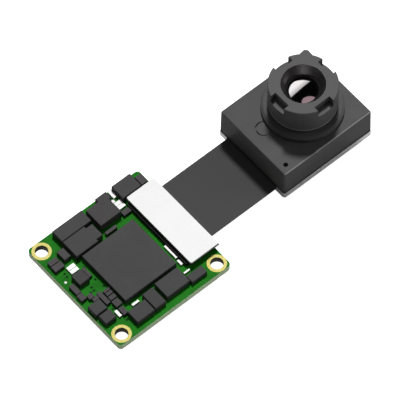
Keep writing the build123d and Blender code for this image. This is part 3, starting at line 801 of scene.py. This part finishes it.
back = Vector((math.sin(VIEW_AZIMUTH) * math.cos(VIEW_ELEVATION),
               -math.cos(VIEW_AZIMUTH) * math.cos(VIEW_ELEVATION), math.sin(VIEW_ELEVATION)))
right = Vector((math.cos(VIEW_AZIMUTH), math.sin(VIEW_AZIMUTH), 0))
up = back.cross(right)
camera_data = bpy.data.cameras.new("photo_camera")
camera_data.sensor_width = SENSOR_WIDTH
camera_data.lens = SENSOR_WIDTH * FOCAL_PIXELS / PHOTO_PIXELS
camera_data.clip_start, camera_data.clip_end = VIEW_CLIP
camera = in_scene("photo_camera", camera_data)
centre = VIEW_TARGET - VIEW_SHIFT[0] * right - VIEW_SHIFT[1] * up + VIEW_DISTANCE * back
turn = Matrix((right, up, back)).transposed().to_4x4()
camera.matrix_world = Matrix.Translation(centre) @ turn
bpy.context.scene.camera = camera

# Lights. Each lamp's power is worked out from the radiance that it has to show.
lens_spot = Vector((lens_x, lens_y, lens_top))
DOWN = Vector((0, 0, -1))


def hang_lamp(name, place, aim, size, radiance, colour=(1, 1, 1), shape="DISK", roll=0.0):
    """Hangs a soft lamp at a place, facing aim: size is its width and depth in metres."""
    data = bpy.data.lights.new(name, "AREA")
    data.shape = shape
    data.size, data.size_y = size
    area = size[0] * size[1] * (math.pi / 4 if shape == "DISK" else 1.0)
    data.energy = radiance * math.pi * area
    data.color = colour
    lamp = in_scene(name, data)
    facing = (place - aim).to_track_quat("Z", "Y").to_matrix().to_4x4()
    lamp.matrix_world = Matrix.Translation(place) @ facing @ Matrix.Rotation(roll, 4, "Z")
    lamp.visible_camera = False
    return lamp


def keep_off_the_glass(lamp):
    """The front glass doesn't show this lamp, as when a flag in the studio stands between the two."""
    flagged = bpy.data.collections.new(lamp.name + "_flag")
    flagged.objects.link(front_lens)
    lamp.light_linking.receiver_collection = flagged
    flagged.collection_objects[0].light_linking.link_state = "EXCLUDE"


# The key lamp stands high over the far side: the barrel's shadow falls on the housing's top
KEY_DIRECTION = Vector((0.385, 0.43, 1.0)).normalized()
KEY_DISTANCE = 3.0
KEY_SIZE = 0.45
KEY_IRRADIANCE = 3.2
key_radiance = KEY_IRRADIANCE * KEY_DISTANCE ** 2 / (math.pi * KEY_SIZE ** 2 / 4)
key = hang_lamp("key_lamp", lens_spot + KEY_DIRECTION * KEY_DISTANCE, lens_spot,
                (KEY_SIZE, KEY_SIZE), key_radiance)
keep_off_the_glass(key)

# A white panel over the far side, which is what the glass shows as its white highlight.
# Its near edge is graded: strips side by side, each brighter than the one before.
PANEL_HEIGHT = 0.3
PANEL_START = Vector((0.1071, 0.1440))
PANEL_END = Vector((0.1569, 0.1556))
PANEL_LENGTH = 0.2
PANEL_NEAR = -0.002
PANEL_FAR = 0.06
PANEL_RADIANCE = 2.5
NEAR_RADIANCE = 1.2
GRADED_STRIPS = 5
STRIP_DEPTH = 0.002
along = (PANEL_END - PANEL_START).normalized()
outward = Vector((-along.y, along.x))
panel_strips = []
for number in range(GRADED_STRIPS):
    near = PANEL_NEAR + number * STRIP_DEPTH
    brighter = (PANEL_RADIANCE - NEAR_RADIANCE) * number / GRADED_STRIPS
    panel_strips.append((near, near + STRIP_DEPTH, NEAR_RADIANCE + brighter))
panel_strips.append((PANEL_NEAR + GRADED_STRIPS * STRIP_DEPTH, PANEL_FAR, PANEL_RADIANCE))
for number, (near, far, radiance) in enumerate(panel_strips):
    strip_middle = (PANEL_START + PANEL_END) / 2 + outward * (near + far) / 2
    strip_place = lens_spot + Vector((*strip_middle, PANEL_HEIGHT))
    hang_lamp("white_strip_" + str(number + 1), strip_place, strip_place + DOWN,
              (PANEL_LENGTH, far - near), radiance, shape="RECTANGLE",
              roll=math.atan2(along.y, along.x))

# A dim round panel nearer to the camera's side, the mauve patch in the glass
DISC_OFFSET = Vector((0.1605, 0.1490, 0.4))
DISC_SIZE = 0.038
DISC_RADIANCE = 0.8
DISC_COLOUR = (1.0, 0.72, 0.78)
disc_place = lens_spot + DISC_OFFSET
hang_lamp("round_panel", disc_place, disc_place + DOWN, (DISC_SIZE, DISC_SIZE), DISC_RADIANCE,
          colour=DISC_COLOUR)

# A soft panel in front lights the sides that face the camera
FRONT_DIRECTION = Vector((0.70, -0.56, 0.44)).normalized()
FRONT_DISTANCE = 0.6
FRONT_SIZE = 0.3
FRONT_RADIANCE = 2.8
hang_lamp("front_panel", lens_spot + FRONT_DIRECTION * FRONT_DISTANCE, lens_spot,
          (FRONT_SIZE, FRONT_SIZE), FRONT_RADIANCE, shape="RECTANGLE")

# A broad dim panel overhead fills the shadows, and is flagged from the glass as the key lamp is
OVERHEAD_DIRECTION = Vector((-0.5, 0.0, 1.0)).normalized()
OVERHEAD_DISTANCE = 0.7
OVERHEAD_SIZE = 0.7
OVERHEAD_RADIANCE = 0.45
overhead = hang_lamp("overhead_panel", lens_spot + OVERHEAD_DIRECTION * OVERHEAD_DISTANCE, lens_spot,
                     (OVERHEAD_SIZE, OVERHEAD_SIZE), OVERHEAD_RADIANCE, shape="RECTANGLE")
keep_off_the_glass(overhead)

# The studio itself: nearly dark, so that the glass stays black between the panels
STUDIO_LIGHT = 0.004
world = bpy.data.worlds.new("studio")
world.use_nodes = True
world.node_tree.nodes.clear()
ambient = add_node(world.node_tree, "ShaderNodeBackground", {"Strength": STUDIO_LIGHT})
add_node(world.node_tree, "ShaderNodeOutputWorld", {"Surface": ambient.outputs["Background"]})
bpy.context.scene.world = world
bpy.context.scene.view_settings.view_transform = "Standard"
